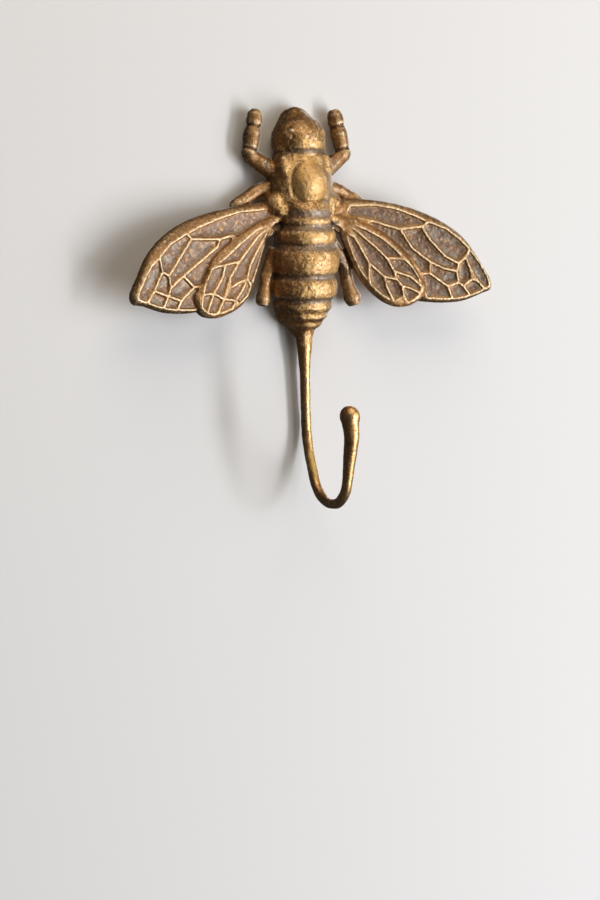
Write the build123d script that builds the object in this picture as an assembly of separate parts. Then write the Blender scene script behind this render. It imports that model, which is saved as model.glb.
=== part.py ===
from build123d import *
import os

# Wall hook, one casting: a bee seen from above whose tail runs on as a hook.
# x is to the right, y into the wall and z up, in millimetres. The wall is the plane y = 0, the bee lies
# in front of it at y < 0, and the origin is the centre of the keyhole's entry hole in the flat back.

# Head: a face ball and a smaller crown ball behind and above it, joined by a cone, and two eyes
FACE_CENTRE = (0, -6.4, 20.5)
FACE_RADIUS = 11.8
CROWN_CENTRE = (0, -3.6, 28.4)
CROWN_RADIUS = 7.1
EYE_HALF_SIZE = (3.6, 3.6, 4.2)
EYE_X = 7.0
EYE_Y = -11.6
EYE_Z = 22.0

# Thorax: cross-sections as (z, centre y, half width, half depth) from the top down, and a dome in front
THORAX_SECTIONS = [
    (16.5, -7.4, 11.6, 7.4),
    (9.0, -7.4, 14.2, 9.8),
    (-2.0, -7.2, 15.0, 10.2),
    (-11.0, -7.6, 12.4, 8.6),
]
DOME_HALF_SIZE = (8.8, 8.4, 10.3)
DOME_CENTRE = (0, -12.5, 1.7)

# Abdomen: turned on a leaning axis, with bands as (top, bottom, radius) measured down that axis from the
# waist and a flat groove between neighbours
WAIST = (0, -9.8, -8.0)
TAIL = (0, -2.6, -64.4)
BANDS = [
    (4.4, 7.0, 12.1),
    (10.0, 15.4, 14.0),
    (18.4, 28.4, 16.1),
    (31.0, 39.0, 15.5),
    (41.2, 44.6, 13.6),
    (45.8, 48.6, 11.8),
    (49.8, 52.2, 9.1),
    (53.2, 55.0, 6.0),
]
BAND_BULGE = 0.11
GROOVE_DEPTH = 0.8
GROOVE_SLOPE = 0.35
TAIL_RADIUS = 3.4

# Hook: the rod's line in the plane x = 0 as (y, z) corners, with the bend radius at each inner corner.
# The rod leaves the tail through a flare, thickens on the rise and ends in a neck and a ball.
ROD_CORNERS = [
    (-5.4, -60.0),
    (-3.9, -110.0),
    (-13.5, -137.0),
    (-36.5, -137.0),
    (-45.2, -105.4),
    (-43.8, -98.4),
]
ROD_BENDS = [40.0, 16.0, 14.0, 6.0]
ROD_RADIUS = 2.3
FLARE_RADIUS = 4.4
FLARE_LENGTH = 20.0
RISE_LENGTH = 28.0
RISE_RADIUS = 3.4
NECK_LENGTH = 9.0
NECK_RADIUS = 4.0
BALL_RADIUS = 4.6

# Wings: flat plates that rise from the wall towards the tips, the hind ones a step in front of the fore ones
WING_TILT = 10.0
WING_ROOT_Y = -7.4
FORE_SPAN = 90.0
HIND_SPAN = 58.0
FORE_THICKNESS = 4.6
HIND_STEP = 1.8
HIND_THICKNESS = 5.2
RIM_BEVEL = 1.0
VEIN_WIDTH = 0.9
VEIN_BASE = 2.0
VEIN_HEIGHT = 1.3

# Legs on the right side: turned pieces as (start, end, outline), each outline being (radius, distance from
# the start along the piece's own axis). The front and middle legs have twins on the left.
FRONT_THIGH = ((12.0, -6.0, 6.5), (23.2, -4.6, 15.0), [(3.9, 0.0), (3.6, 14.2)])
FRONT_SHIN = (
    (23.2, -4.6, 15.0),
    (19.0, -4.6, 35.0),
    [(2.2, -3.2), (3.8, 0.0), (3.5, 4.0), (3.9, 9.0), (3.4, 11.4), (3.7, 14.6), (3.3, 17.8), (1.9, 19.8)],
)
MIDDLE_THIGH = ((12.0, -5.0, 1.5), (20.0, -4.2, -1.0), [(3.5, 0.0), (3.1, 8.4)])
MIDDLE_SHIN = (
    (20.0, -4.2, -1.0),
    (33.0, -4.2, -8.0),
    [(1.8, -2.6), (3.3, 0.0), (2.9, 4.5), (3.1, 8.0), (2.7, 12.4), (1.6, 14.4)],
)
RIGHT_REAR_THIGH = ((14.0, -6.5, -24.0), (21.0, -6.2, -34.0), [(3.6, 0.0), (3.0, 12.2)])
RIGHT_REAR_SHIN = (
    (21.0, -6.2, -34.0),
    (22.6, -5.6, -42.5),
    [(1.6, -2.2), (3.2, 0.0), (2.8, 4.0), (3.1, 9.6)],
)
RIGHT_REAR_FOOT = (
    (22.6, -5.6, -42.5),
    (26.0, -5.2, -51.5),
    [(1.7, -1.8), (2.9, 0.6), (3.9, 6.4), (2.8, 9.6)],
)

# The left rear leg lies closer to the abdomen. It is given as on the right side, and is then mirrored.
LEFT_REAR_THIGH = ((13.0, -6.0, -26.0), (17.6, -5.6, -37.0), [(3.3, 0.0), (2.6, 12.0)])
LEFT_REAR_FOOT = (
    (17.6, -5.6, -37.0),
    (20.2, -5.2, -50.8),
    [(1.6, -2.0), (2.8, 0.0), (2.5, 5.0), (3.4, 10.6), (2.5, 13.6)],
)

# Keyhole in the back: entry hole, slot above it and the room behind the lip for a screw head
ENTRY_RADIUS = 4.6
SLOT_RADIUS = 2.3
SLOT_RISE = 8.0
LIP = 3.0
HEAD_ROOM = 4.5

# The wings' plans, as (distance out from the middle, height) in shares of the wing's span. The edge is a
# smooth curve round the wing, and the base closes it inside the body. Each letter is a crossing of veins or
# a bend of the rim, and each word of letters is one cell between veins.
RIGHT_FORE = {
    "edge": [
        (0.089, -0.051), (0.333, -0.060), (0.511, -0.089), (0.717, -0.167), (0.867, -0.280), (0.961, -0.428),
        (0.992, -0.504), (0.983, -0.524), (0.962, -0.533), (0.856, -0.569), (0.733, -0.580), (0.600, -0.567),
    ],
    "base": [(0.444, -0.378), (0.089, -0.156)],
    "nodes": {
        "a": (0.228, -0.122), "b": (0.250, -0.089), "c": (0.378, -0.087), "d": (0.483, -0.107),
        "e": (0.572, -0.140), "f": (0.656, -0.178), "g": (0.750, -0.213), "h": (0.822, -0.267),
        "i": (0.873, -0.320), "j": (0.924, -0.382), "k": (0.962, -0.453), "l": (0.976, -0.502),
        "m": (0.951, -0.524), "n": (0.867, -0.553), "o": (0.772, -0.567), "p": (0.633, -0.556),
        "q": (0.247, -0.144), "r": (0.361, -0.167), "s": (0.506, -0.211), "t": (0.622, -0.202),
        "u": (0.661, -0.267), "v": (0.739, -0.350), "w": (0.811, -0.389), "x": (0.847, -0.358),
        "y": (0.567, -0.306), "z": (0.658, -0.376), "A": (0.733, -0.411), "B": (0.800, -0.428),
        "C": (0.807, -0.483), "D": (0.656, -0.433), "E": (0.749, -0.500), "F": (0.833, -0.502),
        "G": (0.878, -0.469), "H": (0.869, -0.411), "I": (0.907, -0.478), "J": (0.456, -0.267),
        "K": (0.556, -0.356), "L": (0.611, -0.433), "M": (0.306, -0.194),
    },
    "cells": [
        "abcdeftsrq", "tfghixwvu", "stuvwBAzy", "zABCED", "wxHGFCB", "xijklmIH", "GImnF",
        "ECFno", "DEopL", "rsyzDLKJM",
    ],
}
RIGHT_HIND = {
    "edge": [
        (0.241, -0.198), (0.405, -0.238), (0.647, -0.352), (0.855, -0.559), (0.952, -0.724), (0.978, -0.778),
        (0.959, -0.834), (0.879, -0.897), (0.769, -0.921), (0.578, -0.834), (0.414, -0.621), (0.297, -0.302),
    ],
    "base": [(0.207, -0.259)],
    "nodes": {
        "a": (0.293, -0.238), "b": (0.491, -0.317), "c": (0.626, -0.390), "d": (0.728, -0.476),
        "e": (0.803, -0.555), "f": (0.866, -0.614), "g": (0.917, -0.697), "h": (0.934, -0.766),
        "i": (0.928, -0.824), "j": (0.872, -0.872), "k": (0.821, -0.897), "l": (0.707, -0.883),
        "m": (0.607, -0.824), "n": (0.510, -0.734), "o": (0.438, -0.631), "p": (0.379, -0.500),
        "q": (0.325, -0.335), "r": (0.440, -0.345), "s": (0.572, -0.459), "t": (0.659, -0.545),
        "u": (0.714, -0.645), "v": (0.731, -0.707), "w": (0.631, -0.683), "x": (0.514, -0.576),
        "y": (0.405, -0.378), "z": (0.848, -0.693), "A": (0.648, -0.759), "B": (0.772, -0.759),
        "C": (0.786, -0.841), "D": (0.848, -0.783),
    },
    "cells": [
        "abcdetsr", "arstuvwxy", "tefghzu", "qyxnop", "xwAlmn", "wvBClA", "uzhiDBv",
        "BDijkC",
    ],
}
LEFT_FORE = {
    "edge": [
        (0.089, -0.060), (0.311, -0.077), (0.544, -0.116), (0.750, -0.193), (0.900, -0.322), (0.967, -0.438),
        (0.992, -0.511), (0.979, -0.531), (0.956, -0.536), (0.833, -0.569), (0.733, -0.582), (0.600, -0.573),
    ],
    "base": [(0.444, -0.378), (0.089, -0.167)],
    "nodes": {
        "a": (0.172, -0.130), "b": (0.197, -0.096), "c": (0.372, -0.109), "d": (0.480, -0.136),
        "e": (0.580, -0.169), "f": (0.684, -0.209), "g": (0.778, -0.256), "h": (0.842, -0.316),
        "i": (0.889, -0.356), "j": (0.931, -0.416), "k": (0.967, -0.478), "l": (0.973, -0.509),
        "m": (0.922, -0.529), "n": (0.833, -0.556), "o": (0.756, -0.567), "p": (0.639, -0.569),
        "q": (0.658, -0.236), "r": (0.491, -0.238), "s": (0.416, -0.222), "t": (0.511, -0.276),
        "u": (0.792, -0.404), "v": (0.830, -0.386), "w": (0.712, -0.407), "x": (0.787, -0.460),
        "y": (0.652, -0.460), "z": (0.730, -0.522), "A": (0.880, -0.472), "B": (0.802, -0.499),
        "C": (0.436, -0.306), "D": (0.544, -0.378), "E": (0.600, -0.456), "F": (0.360, -0.250),
        "G": (0.220, -0.172),
    },
    "cells": [
        "abcdefqrsFG", "fghvuq", "qrtwxu", "wyzBx", "hijklmAv", "vuxBA", "ABnm",
        "Bzon", "zyEpo", "rsCDEywt",
    ],
}
LEFT_HIND = {
    "edge": [
        (0.216, -0.203), (0.397, -0.252), (0.628, -0.372), (0.852, -0.538), (0.959, -0.707), (1.009, -0.781),
        (0.993, -0.869), (0.897, -0.941), (0.741, -0.928), (0.569, -0.838), (0.448, -0.629), (0.269, -0.267),
    ],
    "base": [(0.190, -0.250)],
    "nodes": {
        "a": (0.265, -0.236), "b": (0.459, -0.314), "c": (0.603, -0.407), "d": (0.745, -0.507),
        "e": (0.866, -0.579), "f": (0.928, -0.679), "g": (0.959, -0.772), "h": (0.976, -0.866),
        "i": (0.931, -0.914), "j": (0.838, -0.921), "k": (0.697, -0.886), "l": (0.634, -0.855),
        "m": (0.555, -0.797), "n": (0.514, -0.721), "o": (0.462, -0.610), "p": (0.393, -0.476),
        "q": (0.300, -0.303), "r": (0.440, -0.360), "s": (0.424, -0.424), "t": (0.521, -0.566),
        "u": (0.555, -0.667), "v": (0.752, -0.560), "w": (0.617, -0.538), "x": (0.774, -0.648),
        "y": (0.862, -0.766), "z": (0.772, -0.809), "A": (0.666, -0.821), "B": (0.710, -0.655),
        "C": (0.710, -0.731), "D": (0.631, -0.693), "E": (0.607, -0.755),
    },
    "cells": [
        "abcdevwr", "arwBCDuts", "evxygf", "vwBzyx", "CDuEAz", "gyih", "yzji",
        "zAkj", "unmlAE", "qponuts",
    ],
}


def turn(outline, start, end):
    """Solid turned from a closed outline of (radius, distance) on the axis from start to end."""
    axis = Plane(start, x_dir=(1, 0, 0), z_dir=Vector(*end) - Vector(*start))
    return axis * revolve(Plane.XZ * make_face(Curve() + outline), Axis.Z)


def ellipsoid(centre, half_size):
    """Ellipsoid with its axes along x, y and z."""
    return Pos(*centre) * scale(Sphere(1.0), by=half_size)


def make_head():
    """Two balls with the cone that touches both, and an eye on each side of the front."""
    rise = (Vector(*CROWN_CENTRE) - Vector(*FACE_CENTRE)).length
    slope = (FACE_RADIUS - CROWN_RADIUS) / rise
    girth = (1 - slope**2) ** 0.5
    cheek = (FACE_RADIUS * girth, FACE_RADIUS * slope)
    brow = (CROWN_RADIUS * girth, rise + CROWN_RADIUS * slope)
    chin = (0, -FACE_RADIUS)
    top = (0, rise + CROWN_RADIUS)
    face = ThreePointArc(chin, (FACE_RADIUS, 0), cheek)
    crown = RadiusArc(brow, top, -CROWN_RADIUS)
    head = turn([face, Line(cheek, brow), crown, Line(top, chin)], FACE_CENTRE, CROWN_CENTRE)
    for x in (EYE_X, -EYE_X):
        head += ellipsoid((x, EYE_Y, EYE_Z), EYE_HALF_SIZE)
    return head


def make_thorax():
    """Flat round body between the head and the abdomen, with a dome on its front."""
    body = loft([Plane((0, y, z)) * Ellipse(width, depth) for z, y, width, depth in THORAX_SECTIONS])
    return body + ellipsoid(DOME_CENTRE, DOME_HALF_SIZE)


def make_abdomen():
    """Abdomen turned from a profile of bulging bands with flat grooves between them."""
    end = (0, (Vector(*TAIL) - Vector(*WAIST)).length)
    corner = (BANDS[0][2] - GROOVE_DEPTH, 0)
    outline = [Line((0, 0), corner)]
    for top, bottom, radius in BANDS:
        side = radius - BAND_BULGE * (bottom - top)
        groove = side - GROOVE_DEPTH
        outline.append(Polyline(corner, (groove, top - GROOVE_SLOPE), (side, top)))
        outline.append(ThreePointArc((side, top), (radius, (top + bottom) / 2), (side, bottom)))
        corner = (groove, bottom + GROOVE_SLOPE)
        outline.append(Line((side, bottom), corner))
    outline.append(Polyline(corner, (TAIL_RADIUS, end[1]), end, (0, 0)))
    return turn(outline, WAIST, TAIL)


def tapered_rod(start, end, start_radius, end_radius):
    """Cone from point to point."""
    along = end - start
    return Solid.make_cone(start_radius, end_radius, along.length, Plane(start, z_dir=along))


def make_hook():
    """The rod that leaves the tail, bends forward in a J and ends in a ball."""
    line = FilletPolyline(*[(0, y, z) for y, z in ROD_CORNERS], radius=ROD_BENDS)
    flare_end = line @ (FLARE_LENGTH / line.length)
    rise_start = line @ (1 - RISE_LENGTH / line.length)
    neck_start = line @ (1 - NECK_LENGTH / line.length)
    hook = sweep(Plane(line @ 0, z_dir=line % 0) * Circle(ROD_RADIUS), path=line)
    hook += tapered_rod(line @ 0, flare_end, FLARE_RADIUS, ROD_RADIUS)
    hook += tapered_rod(rise_start, neck_start, ROD_RADIUS, RISE_RADIUS)
    hook += Pos(neck_start) * Sphere(RISE_RADIUS)
    hook += tapered_rod(neck_start, line @ 1, RISE_RADIUS, NECK_RADIUS)
    return hook + Pos(line @ 1) * Sphere(BALL_RADIUS)


def make_leg(*pieces):
    """A leg of turned pieces that overlap at its joints."""
    leg = Part()
    for start, end, outline in pieces:
        ends = [(0, outline[-1][1]), (0, outline[0][1])]
        leg += turn([Polyline(*outline, *ends, close=True)], start, end)
    return leg


def inset(corners, distance):
    """A polygon's corners after each of its sides has moved inwards by the same distance."""
    points = [Vector(x, z) for x, z in corners]
    following = points[1:] + points[:1]
    turning = 1 if sum(a.X * b.Y - b.X * a.Y for a, b in zip(points, following)) > 0 else -1
    moved = []
    for before, here, after in zip(points[-1:] + points[:-1], points, following):
        arriving = (here - before).normalized()
        leaving = (after - here).normalized()
        inwards = Vector(-arriving.Y - leaving.Y, arriving.X + leaving.X) * turning
        moved.append(here + inwards * (distance / (1 + arriving.dot(leaving))))
    return moved


def wing_plate(plan, span, front, thickness):
    """One wing in its own plane: a plate with a bevelled rim and a drafted pocket for each cell."""
    edge = [(x * span, z * span) for x, z in plan["edge"]]
    base = [(x * span, z * span) for x, z in plan["base"]]
    nodes = {letter: (x * span, z * span) for letter, (x, z) in plan["nodes"].items()}
    outline = make_face(Curve() + [Spline(*edge), Polyline(edge[-1], *base, edge[0])])
    plate = extrude(Pos(0, 0, front) * outline, amount=-thickness)
    rim = [edge for edge in plate.faces().sort_by(Axis.Z)[-1].edges() if edge.geom_type != GeomType.LINE]
    plate = chamfer(rim, RIM_BEVEL)
    for cell in plan["cells"]:
        corners = [nodes[letter] for letter in cell]
        mouth = make_face(Polyline(*inset(corners, VEIN_WIDTH / 2), close=True))
        floor = make_face(Polyline(*inset(corners, VEIN_BASE / 2), close=True))
        plate -= loft([Pos(0, 0, front) * mouth, Pos(0, 0, front - VEIN_HEIGHT) * floor], ruled=True)
    return plate


def make_wings(fore, hind):
    """A right-hand pair of wings, the hind one lying on the fore one, tilted off the wall."""
    pair = wing_plate(fore, FORE_SPAN, 0, FORE_THICKNESS)
    pair += wing_plate(hind, HIND_SPAN, HIND_STEP, HIND_THICKNESS)
    upright = Plane((0, WING_ROOT_Y, 0), x_dir=(1, 0, 0), z_dir=(0, -1, 0))
    return upright * Rot(Y=-WING_TILT) * pair


def make_keyhole():
    """The cut in the back: an entry hole and a slot through the lip, and a wider room behind it."""
    into = Plane((0, 0, 0), x_dir=(1, 0, 0), z_dir=(0, -1, 0))
    slot_centre = Pos(0, SLOT_RISE / 2)
    slot = slot_centre * Rectangle(2 * SLOT_RADIUS, SLOT_RISE) + Pos(0, SLOT_RISE) * Circle(SLOT_RADIUS)
    room = slot_centre * Rectangle(2 * ENTRY_RADIUS, SLOT_RISE) + Pos(0, SLOT_RISE) * Circle(ENTRY_RADIUS)
    through = extrude(into * (slot + Circle(ENTRY_RADIUS)), amount=LIP)
    behind = Pos(0, -LIP, 0) * extrude(into * (room + Circle(ENTRY_RADIUS)), amount=HEAD_ROOM)
    return through + behind


def make_bee_hook():
    """The whole casting, cut flat where it lies on the wall."""
    bee = make_thorax() + make_head() + make_abdomen() + make_hook()
    legs = make_leg(FRONT_THIGH, FRONT_SHIN) + make_leg(MIDDLE_THIGH, MIDDLE_SHIN)
    right_rear = make_leg(RIGHT_REAR_THIGH, RIGHT_REAR_SHIN, RIGHT_REAR_FOOT)
    left_rear = make_leg(LEFT_REAR_THIGH, LEFT_REAR_FOOT)
    bee += legs + right_rear
    bee += mirror(legs + left_rear, about=Plane.YZ)
    bee += make_wings(RIGHT_FORE, RIGHT_HIND)
    bee += mirror(make_wings(LEFT_FORE, LEFT_HIND), about=Plane.YZ)
    span = bee.bounding_box().diagonal
    wall = Pos(0, span / 2, 0) * Box(2 * span, span, 2 * span)
    return bee - wall - make_keyhole()


os.makedirs("parts", exist_ok=True)
bee_hook = make_bee_hook()
bee_hook.label = "bee_hook"
export_step(bee_hook, "parts/bee_hook.step")
print("bee_hook:", len(bee_hook.solids()), "solid,", round(bee_hook.volume / 1000, 1), "cubic centimetres")
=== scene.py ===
# %% [markdown]
# # A brass bee with a hook for a tail
# The real object is one casting: a bee with a flat back to hang it by, and its tail drawn out into a rod
# that bends forward to carry things. The solid that comes with the frame has every form in its right place,
# but its edges are as sharp as they were drawn. This lesson gives it the skin of a casting: soft edges,
# lumps and pits from the sand, and brass that has gone dark in the hollows and is rubbed bright on the
# ridges.

# %% Load the frame
import math

import bmesh
import bpy
import numpy as np
from mathutils import Matrix, Vector, kdtree, noise


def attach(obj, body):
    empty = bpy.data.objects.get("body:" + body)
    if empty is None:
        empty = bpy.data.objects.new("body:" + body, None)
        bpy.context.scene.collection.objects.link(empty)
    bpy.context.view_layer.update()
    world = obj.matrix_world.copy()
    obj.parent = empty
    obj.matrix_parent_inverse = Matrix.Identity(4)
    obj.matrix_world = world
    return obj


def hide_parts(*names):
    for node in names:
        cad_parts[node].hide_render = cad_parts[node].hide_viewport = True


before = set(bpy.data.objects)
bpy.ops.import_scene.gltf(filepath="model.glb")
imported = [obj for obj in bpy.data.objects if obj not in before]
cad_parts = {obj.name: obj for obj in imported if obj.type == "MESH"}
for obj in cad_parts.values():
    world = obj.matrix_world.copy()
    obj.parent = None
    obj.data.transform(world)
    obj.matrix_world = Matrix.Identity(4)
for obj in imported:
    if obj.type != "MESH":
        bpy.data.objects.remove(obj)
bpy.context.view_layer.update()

MM = 0.001
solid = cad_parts["bee_hook"]


# %% [markdown]
# ## Copy the casting and add the small swellings
# A frame solid is never edited, so the work starts on a copy of its mesh, with the seams between its faces
# welded shut. The copy then gets a few swellings that the pattern maker put on with a dab of wax: a plate on
# each shoulder, fillets at the wing roots and the neck, a lid over each eye, a flat and a ridge where the
# wings meet the waist, a belt round the waist and a fuller tail. They are plain balls, stretched and pushed
# into the body. The next step melts them into it, so they need no neat joint here.

# %% Copy and swellings
WELD = 0.002
BALL_FINENESS = 4
TWIN_SWELLINGS = {
    "shoulder": ((10.0, -11.6, 8.4), (3.2, 3.6, 6.8)),
    "wing root fillet": ((13.6, -8.4, -6.6), (5.6, 5.0, 5.0)),
    "side of the neck": ((9.4, -7.2, 15.6), (2.8, 5.0, 4.0)),
    "eyelid": ((6.8, -14.3, 24.2), (2.0, 1.5, 1.3)),
}
LONE_SWELLINGS = {
    "flat on the left": ((-11.8, -11.6, -9.6), (3.6, 2.6, 3.4)),
    "ridge on the right": ((12.4, -12.2, -8.4), (1.5, 2.1, 5.2)),
    "waist": ((0.0, -12.4, -8.4), (10.4, 7.2, 4.4)),
    "tail": ((-1.0, -3.4, -54.0), (11.2, 9.0, 7.6)),
}


def add_ball(bm, centre, half_size):
    """Add a stretched ball, sizes in millimetres."""
    place = Matrix.Translation(Vector(centre) * MM) @ Matrix.Diagonal((*(Vector(half_size) * MM), 1.0))
    bmesh.ops.create_icosphere(bm, subdivisions=BALL_FINENESS, radius=1.0, matrix=place)


shell = bmesh.new()
shell.from_mesh(solid.data)
bmesh.ops.remove_doubles(shell, verts=shell.verts, dist=WELD * MM)
for (x, y, z), half_size in TWIN_SWELLINGS.values():
    add_ball(shell, (x, y, z), half_size)
    add_ball(shell, (-x, y, z), half_size)
for centre, half_size in LONE_SWELLINGS.values():
    add_ball(shell, centre, half_size)
rough_mesh = bpy.data.meshes.new("bee_casting_rough")
shell.to_mesh(rough_mesh)
shell.free()
rough = bpy.data.objects.new("bee_casting_rough", rough_mesh)
bpy.context.collection.objects.link(rough)
print("copy with swellings:", len(rough_mesh.vertices), "vertices")

# %% [markdown]
# ## Melt it into one skin
# Molten metal knows no seams, so the copy is turned into one closed skin. A voxel remesh does that: it
# fills the shape with tiny cubes and wraps a new, even mesh around them. The cubes are about a third of a
# millimetre, which is fine enough for a vein that is one millimetre wide.

# %% One skin
VOXEL = 0.34


def evaluated_mesh(thing):
    """The mesh of an object with its modifiers applied."""
    return bpy.data.meshes.new_from_object(thing.evaluated_get(bpy.context.evaluated_depsgraph_get()))


melt = rough.modifiers.new("melt", "REMESH")
melt.mode = "VOXEL"
melt.voxel_size = VOXEL * MM
skin = evaluated_mesh(rough)
bpy.data.objects.remove(rough)
print("skin:", len(skin.vertices), "points")

# %% [markdown]
# ## Clean the skin
# A remesh can leave a loose crumb in a tight corner, and those are dropped. The casting was ground flat
# behind, so whatever a ball pushed out through the back is pressed in again. From here on the points are
# handled as one array in millimetres, because whole arrays are quick to work on.

# %% Clean skin
BACK = 0.0


def read_points(mesh):
    """The points of a mesh in millimetres, one row each."""
    points = np.empty(3 * len(mesh.vertices))
    mesh.vertices.foreach_get("co", points)
    return points.reshape(-1, 3) / MM


def write_points(mesh, points):
    """Put points in millimetres back into a mesh."""
    mesh.vertices.foreach_set("co", (points * MM).ravel())
    mesh.update()


def read_normals(mesh):
    """The direction in which the surface faces at each point."""
    normals = np.empty(3 * len(mesh.vertices))
    mesh.vertex_normals.foreach_get("vector", normals)
    return normals.reshape(-1, 3)


def drop_crumbs(mesh):
    """Delete every loose part of a mesh but the largest. Returns how many went."""
    bm = bmesh.new()
    bm.from_mesh(mesh)
    waiting, parts = set(bm.verts), []
    while waiting:
        part, border = [], [waiting.pop()]
        while border:
            point = border.pop()
            part.append(point)
            found = {edge.other_vert(point) for edge in point.link_edges} & waiting
            waiting -= found
            border.extend(found)
        parts.append(part)
    parts.sort(key=len)
    bmesh.ops.delete(bm, geom=[point for part in parts[:-1] for point in part], context="VERTS")
    bm.to_mesh(mesh)
    bm.free()
    return len(parts) - 1


crumbs = drop_crumbs(skin)
points = read_points(skin)
points[:, 1] = np.minimum(points[:, 1], BACK)
write_points(skin, points)
normals = read_normals(skin)
print("clean skin:", len(points), "points,", crumbs, "crumbs dropped")

# %% [markdown]
# ## Find the wings' floors and rims
# The wings are flat, so a point's height above the plane of its wing is a short sum, and so is how squarely
# the surface faces off that plane. With these two numbers the floors of the cells can be told from the
# veins and rims on top and from the steep sides between. Each finding is a mask: a number per point, from
# 0 to 1.

# %% Floors of the cells
WING_TILT = math.radians(10.0)
WING_ROOT_Y = -7.4
ROOT_END = (16.0, 18.0)
FORE_FRONT = 0.0
HIND_FRONT = 1.8
VEIN_HEIGHT = 1.3
FLOOR_TOLERANCE, FLOOR_FACING = 0.35, 0.8


def wing_height(points):
    """Height above the plane of the fore wing on the point's own side, in millimetres."""
    out = np.abs(points[:, 0])
    front = WING_ROOT_Y - points[:, 1]
    return front * math.cos(WING_TILT) - out * math.sin(WING_TILT)


def wing_up(points):
    """The direction straight off the wing on the point's own side."""
    side = np.sign(points[:, 0])
    level = np.zeros(len(points))
    return np.column_stack([-side * math.sin(WING_TILT), level - math.cos(WING_TILT), level])


def ramp(values, low, high):
    """0 below low, 1 above high and a smooth rise between."""
    t = np.clip((values - low) / (high - low), 0.0, 1.0)
    return t * t * (3.0 - 2.0 * t)


height = wing_height(points)
facing = (normals * wing_up(points)).sum(axis=1)
beyond_root = ramp(np.abs(points[:, 0]), *ROOT_END)
floors = {}
for front in (FORE_FRONT, HIND_FRONT):
    off_level = np.abs(height - front + VEIN_HEIGHT)
    floors[front] = (off_level < FLOOR_TOLERANCE) & (facing > FLOOR_FACING) & (beyond_root > 0.0)
cells = (floors[FORE_FRONT] | floors[HIND_FRONT]).astype(float)
print("points on floors:", {front: int(mask.sum()) for front, mask in floors.items()})

# %% [markdown]
# ## Roll the rims over
# On the real wings a rim isn't flat. It has its crest next to the cells and falls away to the outside, like
# the rolled edge of a leaf, and that slope catches the light along the whole wing. So every point on a rim
# is lowered by how near the outside it is: not at all at the cells, and most at the edge. A broad rim
# falls further than a narrow one, and a field that is too broad for a rim stays as it is.

# %% Rims
RIM_SLOPE, RIM_CURVE = 0.55, 1.5
RIM_FALL = {FORE_FRONT: 2.3, HIND_FRONT: 1.3}
RIM_THICKNESS = {FORE_FRONT: 4.6, HIND_FRONT: 1.75}
CREST_AT = 0.85
TOO_BROAD = (6.0, 9.0)
RIM_TOLERANCE, RIM_FACING = 0.3, -0.3
EDGE_FACING, EDGE_BELOW, EDGE_FROM_CELL = 0.4, 0.25, 1.25


def distance_to(marks, points):
    """Distance from each point to the nearest mark, seen straight on."""
    tree = kdtree.KDTree(len(marks))
    for index, (x, _, z) in enumerate(marks):
        tree.insert((x, 0.0, z), index)
    tree.balance()
    return np.array([tree.find((x, 0.0, z))[2] for x, _, z in points])


def rim_fall(front):
    """How far each point of one pair of wings is lowered to roll its rim."""
    below = front - height
    thickness = RIM_THICKNESS[front]
    in_rim = (below > -RIM_TOLERANCE) & (below < thickness) & (facing > RIM_FACING)
    near = np.flatnonzero((beyond_root > 0) & in_rim)
    to_cell = distance_to(points[floors[front]], points[near])
    edge = (facing[near] < EDGE_FACING) & (below[near] > EDGE_BELOW * thickness) & (to_cell > EDGE_FROM_CELL)
    to_edge = distance_to(points[near][edge], points[near])
    width = to_edge + to_cell
    share = np.clip(to_edge / (CREST_AT * width), 0.0, 1.0)
    fall = np.minimum(RIM_SLOPE * width, RIM_FALL[front]) * (1.0 - share) ** RIM_CURVE
    fall *= (1.0 - np.clip(below[near] / thickness, 0.0, 1.0)) * (1.0 - ramp(width, *TOO_BROAD))
    result = np.zeros(len(points))
    result[near] = fall * beyond_root[near]
    return result


fall = rim_fall(FORE_FRONT) + rim_fall(HIND_FRONT)
points = points - wing_up(points) * fall[:, None]
print("rims fall by up to", round(float(fall.max()), 2), "mm")

# %% [markdown]
# ## Dish the floors
# A cell isn't a box with a flat bottom. It was scooped out of the wax, so its floor curves up to the veins
# around it, and the light rolls over it like over a spoon. Every point on a floor is raised by how near the
# next vein is.

# %% Dishes
DISH_REACH, DISH_RISE = 2.6, 0.7
VEIN_TOLERANCE, VEIN_FACING = 0.5, 0.5


def dish_rise(front):
    """How far each point on the floors of one pair of wings is raised, most of all next to a vein."""
    on_vein = (np.abs(height - front) < VEIN_TOLERANCE) & (facing > VEIN_FACING) & (beyond_root > 0.0)
    to_vein = distance_to(points[on_vein], points[floors[front]])
    result = np.zeros(len(points))
    result[floors[front]] = DISH_RISE * (1.0 - np.clip(to_vein / DISH_REACH, 0.0, 1.0)) ** 2
    return result


rise = dish_rise(FORE_FRONT) + dish_rise(HIND_FRONT)
points = points + wing_up(points) * rise[:, None]
print("floors rise by up to", round(float(rise.max()), 2), "mm next to a vein")

# %% [markdown]
# ## Neighbours
# To round a skin, each point has to know which others it is joined to. The mesh lists its edges, and both
# ends of an edge are neighbours. With that list, a mean over all neighbours is two sums for the whole skin.

# %% Neighbours
STEP = 0.5


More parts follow.
